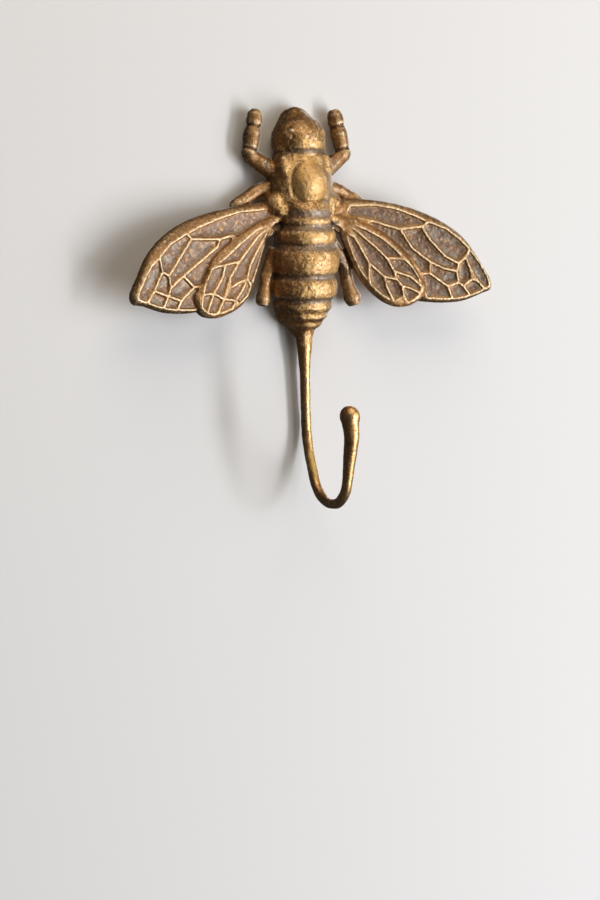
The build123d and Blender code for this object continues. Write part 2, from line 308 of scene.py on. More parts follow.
class Neighbours:
    """Which points of a mesh are joined by an edge."""

    def __init__(self, mesh):
        ends = np.empty(2 * len(mesh.edges), dtype=np.int64)
        mesh.edges.foreach_get("vertices", ends)
        self.a, self.b = ends.reshape(-1, 2).T
        self.count = len(mesh.vertices)
        self.valence = np.maximum(np.bincount(ends, minlength=self.count), 1)

    def mean(self, values):
        """Each point's mean over its neighbours, of a single number."""
        from_b = np.bincount(self.a, values[self.b], self.count)
        from_a = np.bincount(self.b, values[self.a], self.count)
        return (from_b + from_a) / self.valence

    def soften(self, points, rounds, share=1.0):
        """Points moved towards the mean of their neighbours. share is 0 for points that stay."""
        for _ in range(rounds):
            target = np.column_stack([self.mean(points[:, axis]) for axis in range(3)])
            points = points + STEP * np.reshape(share, (-1, 1)) * (target - points)
        return points


joined = Neighbours(skin)
print("edges:", len(joined.a))

# %% [markdown]
# ## Soften the edges
# Sand casting rounds every edge, and years of handling round it more. Each point of the skin moves towards
# the middle of its neighbours, a number of times over. The veins get just enough rounds to turn their flat
# tops into ridges, and the body and legs get more. The rings near the tail, the waist and the roots of the
# wings are nearly melted away. Where that is, is said by stretches: down from the origin, and out from the
# bee's middle plane.

# %% Smoothing
WING_ROUNDS = 7
BODY_ROUNDS = 9
MELTED_ROUNDS = 70
BODY_EDGE = (13.5, 16.5)
BEHIND_WINGS = -5.2
TAIL_DOWN, TAIL_OUT = (47.0, 52.0, 62.0, 66.0), (15.0, 17.0)
WAIST_DOWN, WAIST_OUT = (7.0, 9.0, 12.0, 14.0), (9.0, 12.0)
ROOT_DOWN, ROOT_OUT, ROOT_SHARE = (0.0, 4.0, 12.0, 16.0), (8.0, 11.0, 17.0, 21.0), 0.6


def fade(values, low, high):
    """1 below low, 0 above high and a smooth fall between."""
    return 1.0 - ramp(values, low, high)


def stretch(values, start, full, fading, end):
    """1 from full to fading, and 0 before start and after end."""
    return ramp(values, start, full) * fade(values, fading, end)


x, z = np.abs(points[:, 0]), points[:, 2]
on_wing = ramp(x, *BODY_EDGE) * (height > BEHIND_WINGS)
off_wing = 1.0 - on_wing
near_tail = stretch(-z, *TAIL_DOWN) * fade(x, *TAIL_OUT)
at_waist = stretch(-z, *WAIST_DOWN) * fade(x, *WAIST_OUT)
near_root = stretch(-z, *ROOT_DOWN) * stretch(x, *ROOT_OUT)
points = joined.soften(points, WING_ROUNDS)
points = joined.soften(points, BODY_ROUNDS, off_wing)
melted = np.maximum(np.maximum(near_tail, at_waist), ROOT_SHARE * near_root)
points = joined.soften(points, MELTED_ROUNDS, melted)
write_points(skin, points)
normals = read_normals(skin)
print("smoothed:", len(points), "points, of which", int((melted > 0.5).sum()), "nearly melted away")

# %% [markdown]
# ## Find the grooves
# The abdomen was turned on a leaning axis, so the grooves between its bands are known stretches along that
# axis. The waist above the first band belongs with them. Towards the tail they get narrower.

# %% Grooves of the abdomen
WAIST = np.array([0.0, -9.8, -8.0])
TAIL = np.array([0.0, -2.6, -64.4])
GROOVES = [(0.8, 4.2), (7.0, 10.0), (15.3, 18.5), (28.3, 31.1), (39.0, 41.2)]
GROOVE_BEFORE, GROOVE_AFTER = 0.9, 0.7
ABDOMEN_EDGE = (15.8, 16.4)
WAIST_END = (4.0, 6.0)


def groove_mask(points):
    """1 in the grooves of the abdomen and on the waist, but not where the waist meets the wings."""
    axis = (TAIL - WAIST) / np.linalg.norm(TAIL - WAIST)
    down = (points - WAIST) @ axis
    radius = np.linalg.norm(points - WAIST - np.outer(down, axis), axis=1)
    mask = np.zeros(len(points))
    for top, bottom in GROOVES:
        begins = (top - GROOVE_BEFORE, top + GROOVE_AFTER)
        ends = (bottom - GROOVE_AFTER, bottom + GROOVE_BEFORE)
        mask = np.maximum(mask, stretch(down, *begins, *ends))
    at_wings = ramp(np.abs(points[:, 0]), *WAIST_OUT) * fade(down, *WAIST_END)
    return mask * fade(radius, *ABDOMEN_EDGE) * (1.0 - at_wings)


grooves = groove_mask(points)
print("points in grooves:", int((grooves > 0.5).sum()))

# %% [markdown]
# ## Creases
# A knife drew a few creases in the wax: one under each eye, one round the neck, one on the left of the dome
# on the back, and rings round the front legs where the joints are. Two small pits lie behind the wing
# roots. Each is a straight cut, a ring or a ball, so what counts is a point's distance from a line, along
# an axis, from a centre or from the dome, which is a stretched ball. Most come in pairs, so the left side is
# folded over to the right to find them.

# %% Creases
CREASE_WIDTH, CREASE_DEPTH = 0.75, 0.7
EYE_CREASE = ((7.0, -15.6, 21.6), (8.4, -14.2, 18.7))
EYE_WIDTH, EYE_SHARE = 0.8, 0.6
LEG_RINGS = [((20.7, -4.6, 27.0), (-0.205, 0.0, 0.979)), ((22.8, -4.6, 17.2), (-0.205, 0.0, 0.979))]
RING_REACH, RING_SHARE = 5.5, 0.7
NECK_HEIGHT, NECK_OUT = 15.4, (11.0, 14.0)
NECK_WIDTH, NECK_SHARE = 1.5, 0.7
DOME_CENTRE = np.array([0.0, -12.5, 1.7])
DOME_HALF_SIZE = np.array([8.8, 8.4, 10.3])
MOAT, MOAT_LEFT, MOAT_SHARE = (1.0, 1.06, 1.06, 1.20), (1.0, 5.0), 0.5
WING_PIT, WING_PIT_SIZE = (12.7, -9.0, -15.6), 2.4


def to_segment(points, start, end):
    """Distance from each point to a straight piece of line."""
    start, along = np.array(start), np.array(end) - np.array(start)
    share = np.clip((points - start) @ along / (along @ along), 0.0, 1.0)
    return np.linalg.norm(points - start - share[:, None] * along, axis=1)


def bell(distance, width):
    """1 at no distance, about a third at the width and soon 0 beyond it."""
    return np.exp(-((distance / width) ** 2))


folded = points * (np.sign(points[:, :1]) * [1, 0, 0] + [0, 1, 1])
crease = EYE_SHARE * bell(to_segment(folded, *EYE_CREASE), EYE_WIDTH * CREASE_WIDTH)
for centre, axis in LEG_RINGS:
    along = (folded - centre) @ np.array(axis)
    around = np.linalg.norm(folded - centre, axis=1) < RING_REACH
    crease = np.maximum(crease, RING_SHARE * around * bell(along, CREASE_WIDTH))
neck = bell(z - NECK_HEIGHT, NECK_WIDTH * CREASE_WIDTH) * fade(x, *NECK_OUT)
from_dome = np.linalg.norm((points - DOME_CENTRE) / DOME_HALF_SIZE, axis=1)
moat = stretch(from_dome, *MOAT) * ramp(-points[:, 0], *MOAT_LEFT)
pits = bell(np.linalg.norm(folded - WING_PIT, axis=1), WING_PIT_SIZE)
for cut in (NECK_SHARE * neck, MOAT_SHARE * moat, pits):
    crease = np.maximum(crease, cut)
points = points - normals * (CREASE_DEPTH * crease)[:, None]
print("points in creases:", int((crease > 0.3).sum()))

# %% [markdown]
# ## Lumps and pits
# No two castings are alike: the wax was worked by hand and the sand leaves its grain. Both are pushes along
# the surface's own direction, with the size read from a noise field, which is smooth but random. Broad
# lumps go over the body and legs, and small dents over everything. Fine grain goes mostly on the floors of
# the cells and into the grooves, where no file reached it. The rod and the dome on the back are calmer than
# the rest. The noise has no seed of its own, so every run is the same.

# %% Lumps and pits
LUMP_SIZE, LUMP_HEIGHT, LUMP_SHIFT = 6.0, 0.34, 3.1
DENT_SIZE, DENT_HEIGHT, DENT_SHIFT = 2.4, 0.24, 11.7
GRAIN_SIZE, GRAIN_HEIGHT, GRAIN_SHIFT = 1.15, 0.20, 23.9
LUMPS_OFF_ROD, LUMPS_OFF_DOME, DENTS_OFF_BOTH, GRAIN_OFF_ROD = 0.5, 0.7, 0.6, 0.8
DENTS_ON_WINGS, LEAST_GRAIN = 0.35, 0.40
SAND_ON_FLOORS, SAND_ON_BODY = 0.7, 0.6
ROD_DOWN = (66.0, 70.0)
DOME_EDGE = (1.02, 1.10)
BACK_EDGE = (-0.6, -0.2)


def noise_at(points, size, shift):
    """Noise from -1 to 1 at points, with bumps of about this size."""
    offset = Vector((shift, 2.0 * shift, -shift))
    return np.array([noise.noise(Vector(p) / size + offset) for p in points])


def at_least(least, share):
    """A share from 0 to 1, squeezed to run from the least to 1."""
    return least + (1.0 - least) * share


lumps = noise_at(points, LUMP_SIZE, LUMP_SHIFT)
dents = noise_at(points, DENT_SIZE, DENT_SHIFT)
grain = noise_at(points, GRAIN_SIZE, GRAIN_SHIFT)
on_rod = ramp(-z, *ROD_DOWN)
on_dome = fade(from_dome, *DOME_EDGE)
on_back = ramp(points[:, 1], *BACK_EDGE)
sand = np.maximum(np.maximum(SAND_ON_FLOORS * cells, grooves), SAND_ON_BODY * off_wing)
push = LUMP_HEIGHT * lumps * off_wing * (1.0 - LUMPS_OFF_ROD * on_rod - LUMPS_OFF_DOME * on_dome)
calm = 1.0 - DENTS_OFF_BOTH * np.maximum(on_rod, on_dome)
push += DENT_HEIGHT * dents * at_least(DENTS_ON_WINGS, off_wing) * calm
push += GRAIN_HEIGHT * grain * at_least(LEAST_GRAIN, sand) * (1.0 - GRAIN_OFF_ROD * on_rod)
points = points + normals * (push * (1.0 - on_back))[:, None]
write_points(skin, points)
normals = read_normals(skin)
print("largest push in mm:", round(float(np.abs(push).max()), 3))

# %% [markdown]
# ## Ridges and hollows
# Hands and polish reach the ridges, and dirt stays in the hollows. To tell them apart, the points are
# smoothed far more than the shape needs. Where the real surface stands outside that soft copy there is a
# ridge, and where it lies inside there is a hollow. A few rounds find the veins, and many find the
# swellings.

# %% Ridges and hollows
RIDGE_ROUNDS, RIDGE_FULL = 10, 0.16
SWELL_ROUNDS, SWELL_FULL = 90, 0.60


def stands_out(rounds):
    """How far each point stands out of a much smoother copy of the surface, in millimetres."""
    return ((points - joined.soften(points, rounds)) * normals).sum(axis=1)


ridge = stands_out(RIDGE_ROUNDS) / RIDGE_FULL
swell = stands_out(SWELL_ROUNDS) / SWELL_FULL
print("points on ridges:", int((ridge > 0.5).sum()), "and on swellings:", int((swell > 0.5).sum()))

# %% [markdown]
# ## The polishing cloth, and painted highlight
# A cloth reaches what faces forward and a little right on the body and makes it golden, partly as
# painted highlight where the window falls: most of all the dome on the back, then the rest. The right of the
# chin and the second band get more, as painted highlight. It reaches less of the top of the head, and
# nothing of the wings.
# Small bumps don't turn a cloth away, so the direction of the surface is evened out first.

# %% The polishing cloth
CLOTH_SIDE, CLOTH_ROUNDS = np.array([0.25, -0.95, -0.05]), 12
CLOTH_FACING, CLOTH_ON_DOME = (0.45, 0.80), (0.1, 0.4)
BODY_POLISH, PAINTED_HIGHLIGHT = 0.6, 0.4
CHIN_UP, CHIN_RIGHT = (14.0, 16.0, 18.0, 21.0), (-4.0, 2.0)
SECOND_BAND_DOWN = (15.5, 17.5, 23.0, 25.0)
BROW_UP, LESS_ON_BROW = (18.0, 21.0), 0.2
CROWN_UP, LESS_ON_CROWN = (23.0, 28.0), 0.3


def evened(values):
    """Each point's number after a few rounds of taking the mean of its neighbours."""
    for _ in range(CLOTH_ROUNDS):
        values = joined.mean(values)
    return values


def polish_and_highlight_share():
    """1 where the polish and painted highlight are strongest, and 0 where there are none."""
    forward = evened(normals @ CLOTH_SIDE)
    front = ramp(forward, *CLOTH_FACING) * fade(x, *BODY_EDGE)
    chin = stretch(z, *CHIN_UP) * ramp(points[:, 0], *CHIN_RIGHT)
    # Painted highlight: more golden on the right of the chin and on the second band.
    more = PAINTED_HIGHLIGHT * np.maximum(chin, stretch(-z, *SECOND_BAND_DOWN))
    less = LESS_ON_BROW * ramp(z, *BROW_UP) + LESS_ON_CROWN * ramp(z, *CROWN_UP)
    return np.maximum(front * (BODY_POLISH + more - less), on_dome * ramp(forward, *CLOTH_ON_DOME))


polish_and_highlight = polish_and_highlight_share()
print("points under the cloth:", int((polish_and_highlight > 0.5).sum()))

# %% [markdown]
# ## Painted sheen and shade
# A painted sheen, a reflection of the window, lies on the right flank of the body, but not on the dome, and
# is coloured like the dust in the grooves. Painted shade darkens the right rear leg, which lies behind a
# wing, and less so its foot. The front pair of legs is made a little darker too.

# %% Painted sheen and shade
FLANK_RIGHT = (4.0, 7.0, 14.5, 16.5)
FLANK_UP = (-56.0, -50.0, 12.0, 16.0)
FLANK_FACING, FLANK_BLEND = 0.55, 0.3
THORAX_UP, SOONER_ON_THORAX = (-10.0, -6.0), 0.30
FRONT_LEGS_OUT, FRONT_LEGS_UP, FRONT_LEGS_DARKER = (14.0, 16.0), (10.0, 12.0), 0.3
REAR_LEG_RIGHT, REAR_LEG_BACK, REAR_LEG_DOWN = (12.0, 14.0, 22.0, 24.0), (-10.5, -8.5), (14.0, 16.0)
REAR_FOOT_DOWN, LIGHTER_FOOT = (36.0, 46.0), 0.85


def flank_sheen():
    """1 where the painted sheen lies on the right flank of the body."""
    # Painted sheen, a reflection of the window, on the right flank; on the thorax it starts sooner.
    start = FLANK_FACING - SOONER_ON_THORAX * ramp(z, *THORAX_UP)
    turned = ramp(evened(normals[:, 0]) - start, 0.0, FLANK_BLEND)
    return turned * stretch(points[:, 0], *FLANK_RIGHT) * stretch(z, *FLANK_UP) * (1.0 - on_dome)


def darker_legs():
    """How much darker the legs are: painted shade on the right rear leg, and a little on the front pair."""
    front_pair = FRONT_LEGS_DARKER * ramp(x, *FRONT_LEGS_OUT) * ramp(z, *FRONT_LEGS_UP)
    # Painted shade on the right rear leg behind the wing, lighter at its foot.
    rear = stretch(points[:, 0], *REAR_LEG_RIGHT) * ramp(points[:, 1], *REAR_LEG_BACK)
    rear *= ramp(-z, *REAR_LEG_DOWN) * (1.0 - LIGHTER_FOOT * ramp(-z, *REAR_FOOT_DOWN))
    return np.maximum(front_pair, rear)


flank, legs = flank_sheen(), darker_legs()
print("points on the dusty flank:", int((flank > 0.5).sum()), "and under dirt:", int((legs > 0.2).sum()))

# %% [markdown]
# ## Numbers for the material
# All findings are stored on the points, under names that the material can ask for. The dark number holds the
# patina in hollows and creases, painted shade on the left of the grooves, on the lowered rims and on the
# right rear leg, and a darkening of the front legs. Dust lies in the grooves and round the neck, with less
# on the left as painted shade, and the painted sheen of the right flank is stored with it. One place on the
# rod is worn bright.

# %% Numbers for the material
CELL_ROUNDS = 4
FINE_HOLLOWS, HOLLOWS_OFF_WINGS = 0.5, 0.8
GROOVE_SHADE, GROOVE_SHADE_RIGHT = 0.6, (-6.0, 4.0)
RIM_SHADE, RIM_SHADE_FALL = 0.5, (0.2, 1.4)
DARK_CREASES = 1.5
NECK_DUST, FLANK_SHEEN = 0.8, 0.9
DUST_RIGHT, DUST_ON_LEFT = (-9.0, 2.0), 0.45
WORN_PLACE, WORN_REACH, WORN_DEPTH = -120.5, 6.0, -24.0


def store(mesh, name, values):
    """Keep one number per point under a name that a material can read."""
    layer = mesh.attributes.new(name, "FLOAT", "POINT")
    layer.data.foreach_set("value", np.clip(values, 0.0, 1.0).astype(np.float32))
    print("stored", name, "mean", round(float(np.clip(values, 0, 1).mean()), 3))


for _ in range(CELL_ROUNDS):
    cells = 0.5 * (cells + joined.mean(cells))
patina_and_shade = np.maximum(-FINE_HOLLOWS * ridge, -swell) * (1.0 - HOLLOWS_OFF_WINGS * on_wing)
# Painted shade: the grooves darker on the left, the rims where they fall, and the right rear leg.
groove_shade = GROOVE_SHADE * grooves * fade(points[:, 0], *GROOVE_SHADE_RIGHT)
for dark in (groove_shade, RIM_SHADE * ramp(fall, *RIM_SHADE_FALL), DARK_CREASES * crease, legs):
    patina_and_shade = np.maximum(patina_and_shade, dark)
# Painted shade: less pale dust on the left of the grooves and neck.
more_right = at_least(DUST_ON_LEFT, ramp(points[:, 0], *DUST_RIGHT))
groove_dust_and_shade = np.maximum(grooves, NECK_DUST * neck) * more_right
store(skin, "ridge", ridge)
store(skin, "patina_and_shade", patina_and_shade)
store(skin, "swell", swell)
store(skin, "cell", cells)
# Dust of the grooves and neck, and the painted sheen of the right flank.
store(skin, "dust_and_sheen", np.maximum(groove_dust_and_shade, FLANK_SHEEN * flank))
store(skin, "rod", on_rod)
store(skin, "polish_and_highlight", polish_and_highlight)
store(skin, "worn", bell(z - WORN_PLACE, WORN_REACH) * (points[:, 1] > WORN_DEPTH))

# %% [markdown]
# ## Fewer triangles where nothing happens
# The even skin spends as many triangles on the flat back as on the veins. A decimate modifier merges the
# ones that hardly bend, until the piece is light enough to share. The numbers on the points come along.

# %% Thin out
TRIANGLES = 192000
dense = bpy.data.objects.new("bee_casting_dense", skin)
bpy.context.collection.objects.link(dense)
skin.calc_loop_triangles()
thin = dense.modifiers.new("thin", "DECIMATE")
thin.ratio = min(1.0, TRIANGLES / len(skin.loop_triangles))
casting_mesh = evaluated_mesh(dense)
bpy.data.objects.remove(dense)
bpy.data.meshes.remove(skin)
casting_mesh.name = "bee_casting"
casting_mesh.polygons.foreach_set("use_smooth", np.ones(len(casting_mesh.polygons), dtype=bool))
casting = bpy.data.objects.new("bee_casting", casting_mesh)
bpy.context.collection.objects.link(casting)
print("casting:", len(casting_mesh.vertices), "points,", len(casting_mesh.polygons), "faces, numbers:",
      [layer.name for layer in casting_mesh.attributes if layer.data_type == "FLOAT"])

# %% [markdown]
# ## Old brass
# The finish is brass that was blackened and then rubbed back. Most of it is a warm brown to amber, darker in
# the hollows and where shade is painted, and golden where the cloth reached and where highlight is painted.
# Greyish dust with pale gold specks lies on the floors of the cells and in the grooves, and the same grey
# paints a sheen on the right flank. Bare brass shows on the ridges, and the worn place on the rod is yellow.

# %% Colours of the finish
WARM_BROWN = (0.340, 0.168, 0.058, 1.0)
AMBER = (0.460, 0.235, 0.080, 1.0)
DEEP_BROWN = (0.066, 0.033, 0.013, 1.0)
GOLD = (0.800, 0.485, 0.180, 1.0)
GREY_BLOOM = (0.165, 0.098, 0.066, 1.0)
PALE_BLOOM = (0.230, 0.205, 0.170, 1.0)
# Grey of the dust, also used as the painted sheen on the right flank.
DUST_AND_SHEEN_GREY = (0.240, 0.200, 0.175, 1.0)
PALE_GOLD = (0.560, 0.370, 0.180, 1.0)
BARE_BRASS = (0.880, 0.670, 0.400, 1.0)
WORN_YELLOW = (0.760, 0.500, 0.150, 1.0)
print("bare brass is", round(BARE_BRASS[1] / WARM_BROWN[1], 1), "times as bright as the brown, in green")

# %% [markdown]
# ## Nodes by short names
# One material mixes the colours by the numbers stored on the points, and noise breaks up every border,
# because rubbing by hand is never even. That takes dozens of nodes, so a small class gives the kinds of node
# short names.

# %% Nodes by short names
class Finish:
    """Short names for the nodes of one material."""

    def __init__(self, name):
        self.material = bpy.data.materials.new(name)
        self.material.use_nodes = True
        self.nodes = self.material.node_tree.nodes
        self.links = self.material.node_tree.links
        self.shader = self.nodes["Principled BSDF"]
        self.place = self.nodes.new("ShaderNodeTexCoord").outputs["Object"]

    def stored(self, name):
        """A number stored on the points."""
        node = self.nodes.new("ShaderNodeAttribute")
        node.attribute_name = name
        return node.outputs["Fac"]

    def out_from_middle(self):
        """Distance from the bee's middle plane, in metres."""
        split = self.nodes.new("ShaderNodeSeparateXYZ")
        self.links.new(self.place, split.inputs["Vector"])
        return self.sum("ABSOLUTE", split.outputs["X"], 0.0)

    def noise(self, size, detail=3.0, roughness=0.5):
        """Noise with bumps of about this size in millimetres."""
        node = self.nodes.new("ShaderNodeTexNoise")
        node.inputs["Scale"].default_value = 1.0 / (size * MM)
        node.inputs["Detail"].default_value = detail
        node.inputs["Roughness"].default_value = roughness
        self.links.new(self.place, node.inputs["Vector"])
        return node.outputs["Fac"]

    def spread(self, value, low, high, start=0.0, end=1.0):
        """A value carried from the range low to high over to start to end, and held there."""
        node = self.nodes.new("ShaderNodeMapRange")
        node.interpolation_type = "SMOOTHSTEP"
        for socket, number in zip(("From Min", "From Max", "To Min", "To Max"), (low, high, start, end)):
            node.inputs[socket].default_value = number
        self.links.new(value, node.inputs["Value"])
        return node.outputs["Result"]

    def sum(self, kind, a, b):
        """Two numbers added, multiplied and so on, held from 0 to 1. Either may be a plain number."""
        node = self.nodes.new("ShaderNodeMath")
        node.operation = kind
        node.use_clamp = True
        for socket, value in zip(node.inputs, (a, b)):
            if isinstance(value, (int, float)):
                socket.default_value = value
            else:
                self.links.new(value, socket)
        return node.outputs["Value"]

    def times(self, a, b):
        """One number times another."""
        return self.sum("MULTIPLY", a, b)

    def larger(self, a, b):
        """The larger of two numbers."""
        return self.sum("MAXIMUM", a, b)

    def less(self, a, b):
        """One number less another."""
        return self.sum("SUBTRACT", a, b)

    def mix(self, share, a, b):
        """Two colours mixed. Either may be a plain colour."""
        node = self.nodes.new("ShaderNodeMix")
        node.data_type = "RGBA"
        self.links.new(share, node.inputs["Factor"])
        for socket, value in zip((node.inputs[6], node.inputs[7]), (a, b)):
            if isinstance(value, tuple):
                socket.default_value = value
            else:
                self.links.new(value, socket)
        return node.outputs[2]


finish = Finish("antique_brass")
print("material", finish.material.name, "starts with", len(finish.nodes), "nodes")

# %% [markdown]
# ## Layers of the finish
# Three layers lie on the casting: brown metal with painted shade in it, dust with the painted sheen of the
# right flank in it, and rubbed metal. Two noise fields run through all of them: a mottle of a few
# millimetres and a grit of less than one. The pits of the grit are dark and its peaks are bare. Each range
# below says from where to where a value is read and, if it has four numbers, what that becomes.

# %% Layers of the finish
MOTTLE_SIZE, GRIT_SIZE = 2.6, 0.85
AMBER_SIZE, AMBER_PATCHES = 11.0, (0.35, 0.65)
STAINS, DARK_PITS, DARK_PATINA_AND_SHADE = (0.50, 0.72, 0.0, 0.6), (0.28, 0.42, 0.55, 0.0), 0.8
STREAK_SIZE, CLOTH_STREAKS, GOLD_SPECKS = 5.0, (0.36, 0.56, 0.2, 0.32), (0.56, 0.70)
BLOOM_SIZE, PALE_PATCHES, PALE_TIPS = 3.6, (0.42, 0.62), (0.035, 0.075, 0.2, 1.0)
GOLD_IN_DUST = (0.52, 0.70, 0.0, 0.6)
RUBBED_RIDGES, GRIT_ON_RIDGES = (0.15, 0.75), (0.25, 0.55, 0.45, 1.0)
BARE_SPECKS, CLUSTERS, FEWER_SPECKS = (0.56, 0.68), (0.40, 0.56, 0.9, 0.1), (0.0, 1.0, 0.9, 0.5)
RUBBED_SWELLINGS, SWELLING_SHARE = (0.4, 1.0), 0.25


def brown_metal(f, mottle, grit):
    """The brown of most of the casting: darker in stains, pits, hollows and painted shade, and golden under
    the cloth and painted highlight.
    """
    metal = f.mix(f.spread(f.noise(AMBER_SIZE), *AMBER_PATCHES), WARM_BROWN, AMBER)
    metal = f.mix(f.spread(mottle, *STAINS), metal, DEEP_BROWN)
    metal = f.mix(f.spread(grit, *DARK_PITS), metal, DEEP_BROWN)
    streaks = f.spread(f.noise(STREAK_SIZE, detail=4.0, roughness=0.6), *CLOTH_STREAKS)
    # Golden specks where the polish and painted highlight lie.
    golden = f.sum("ADD", grit, f.times(f.stored("polish_and_highlight"), streaks))
    metal = f.mix(f.spread(golden, *GOLD_SPECKS), metal, GOLD)
    # Dark patina in the hollows, and painted shade from the same number.
    return f.mix(f.times(f.stored("patina_and_shade"), DARK_PATINA_AND_SHADE), metal, DEEP_BROWN)


def bloom_and_sheen(f, mottle):
    """The dust that stays on the floors and in the grooves, paler towards the wing tips, and the painted
    sheen on the right flank.
    """
    tip = f.spread(f.out_from_middle(), *PALE_TIPS)
    pale = f.times(f.spread(f.noise(BLOOM_SIZE), *PALE_PATCHES), tip)
    # On the right flank this grey is a painted sheen.
    dust_and_sheen_colour = f.mix(f.stored("dust_and_sheen"), f.mix(pale, GREY_BLOOM, PALE_BLOOM), DUST_AND_SHEEN_GREY)
    return f.mix(f.spread(mottle, *GOLD_IN_DUST), dust_and_sheen_colour, PALE_GOLD)


def rubbed_share(f, mottle, grit):
    """Where bare metal shows: on ridges and swellings, and in specks that come in clusters."""
    ridges = f.times(f.spread(f.stored("ridge"), *RUBBED_RIDGES), f.spread(grit, *GRIT_ON_RIDGES))
    specks = f.times(f.spread(grit, *BARE_SPECKS), f.spread(mottle, *CLUSTERS))
    specks = f.times(specks, f.spread(f.larger(f.stored("cell"), f.stored("rod")), *FEWER_SPECKS))
    swellings = f.times(f.spread(f.stored("swell"), *RUBBED_SWELLINGS), SWELLING_SHARE)
    return f.larger(f.larger(ridges, specks), swellings)


mottle = finish.noise(MOTTLE_SIZE, detail=4.0, roughness=0.6)
grit = finish.noise(GRIT_SIZE, detail=4.0, roughness=0.7)
brown = brown_metal(finish, mottle, grit)
dust_and_sheen_colour = bloom_and_sheen(finish, mottle)
rubbed = rubbed_share(finish, mottle, grit)
print("layers made,", len(finish.nodes), "nodes so far")

# %% [markdown]
# ## Mix the finish
# Old brass is a rough metal: it glows over a broad stretch instead of showing the window as a mirror does.
# The rod is handled most, so it is smoother than the rest, and dust and the painted sheen of the right flank
# hide some of the metal. A thin clear coat, such as old wax leaves, lies on everything but the floors of the
# cells. The grit is also the bump.

# %% Mix the finish
GROOVE_SHARE, DUST_PATCHES, WORN_PATCHES = 0.9, (0.30, 0.50, 0.35, 0.95), (0.35, 0.55)
METAL, DUST_AND_SHEEN_HIDE = 0.96, 0.5
ROUGHNESS = (0.3, 0.7, 0.50, 0.38)
ROD_SMOOTHER, CLOTH_ROUGHER, RUBBED_SMOOTHER = 0.10, 0.06, 0.06
COAT, COAT_OFF_FLOORS, COAT_ROUGHNESS = 0.5, 0.45, 0.24
BUMP_SHARE, BUMP_HEIGHT = (0.0, 1.0, 0.8, 0.35), 0.45


def mix_layers(f):
    """The three layers and the worn place in one colour. Returns it with the share of dust and painted
    sheen.
    """
    dust_and_sheen_share = f.larger(f.stored("cell"), f.times(f.stored("dust_and_sheen"), GROOVE_SHARE))
    dust_and_sheen_share = f.times(dust_and_sheen_share, f.spread(mottle, *DUST_PATCHES))
    colour = f.mix(rubbed, f.mix(dust_and_sheen_share, brown, dust_and_sheen_colour), BARE_BRASS)
    worn = f.times(f.stored("worn"), f.spread(mottle, *WORN_PATCHES))
    return f.mix(worn, colour, WORN_YELLOW), dust_and_sheen_share


def dullness(f):
    """How rough the metal is: less so on the rod and where it is rubbed bare."""
    dull = f.less(f.spread(grit, *ROUGHNESS), f.times(f.stored("rod"), ROD_SMOOTHER))
    dull = f.sum("ADD", dull, f.times(f.stored("polish_and_highlight"), CLOTH_ROUGHER))
    return f.less(dull, f.times(rubbed, RUBBED_SMOOTHER))


def bumps(f):
    """The grit as a bump, weaker on the floors of the cells and on the rod."""
    bump = f.nodes.new("ShaderNodeBump")
    bump.inputs["Distance"].default_value = BUMP_HEIGHT * MM
    strength = f.spread(f.larger(f.stored("cell"), f.stored("rod")), *BUMP_SHARE)
    f.links.new(strength, bump.inputs["Strength"])
    f.links.new(grit, bump.inputs["Height"])
    return bump.outputs["Normal"]


colour, dust_and_sheen_share = mix_layers(finish)
made = {
    "Base Color": colour,
    "Metallic": finish.less(METAL, finish.times(dust_and_sheen_share, DUST_AND_SHEEN_HIDE)),
    "Roughness": dullness(finish),
    "Coat Weight": finish.less(COAT, finish.times(finish.stored("cell"), COAT_OFF_FLOORS)),
    "Normal": bumps(finish),
}
for socket, value in made.items():
    finish.links.new(value, finish.shader.inputs[socket])
finish.shader.inputs["Coat Roughness"].default_value = COAT_ROUGHNESS
casting_mesh.materials.clear()
casting_mesh.materials.append(finish.material)
print("finish:", finish.material.name, "with", len(finish.nodes), "nodes")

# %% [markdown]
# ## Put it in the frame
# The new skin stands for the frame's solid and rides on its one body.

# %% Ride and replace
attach(casting, "root")
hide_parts("bee_hook")
print("casting stands for bee_hook")

# %% [markdown]
# ## Floor and backdrop
# The floor is plain and pale, and lies a metre below. A pale globe closes the view above it. Like the board
# that follows, they are there for the camera only, so that they don't wash out the brass.

# %% Floor and backdrop
FLOOR_DROP, FLOOR_SIZE = 1.0, 20.0
GLOBE_RADIUS = 8.0
MATT = 0.9
PALE = (0.80, 0.79, 0.78, 1.0)
GLOW = {"board": 0.0, "floor": 0.45, "backdrop": 0.85}


def stage_piece(name, bm, matrix):
    """A background piece with a matt pale paint that only the camera sees."""
    mesh = bpy.data.meshes.new(name)
    bm.to_mesh(mesh)
    bm.free()
    thing = bpy.data.objects.new(name, mesh)
    thing.matrix_world = matrix
    bpy.context.collection.objects.link(thing)
    for ray in ("diffuse", "glossy", "transmission", "volume_scatter", "shadow"):
        setattr(thing, "visible_" + ray, False)
    paint = bpy.data.materials.new(name + "_paint")
    paint.use_nodes = True
    shader = paint.node_tree.nodes["Principled BSDF"]
    shader.inputs["Base Color"].default_value = PALE
    shader.inputs["Roughness"].default_value = MATT
    shader.inputs["Specular IOR Level"].default_value = 0.0
    shader.inputs["Emission Color"].default_value = PALE
    shader.inputs["Emission Strength"].default_value = GLOW[name]
    mesh.materials.append(paint)
    return thing


def square(size):
    """A flat square of this size in metres."""
    bm = bmesh.new()
    bmesh.ops.create_grid(bm, x_segments=1, y_segments=1, size=size / 2)
    return bm


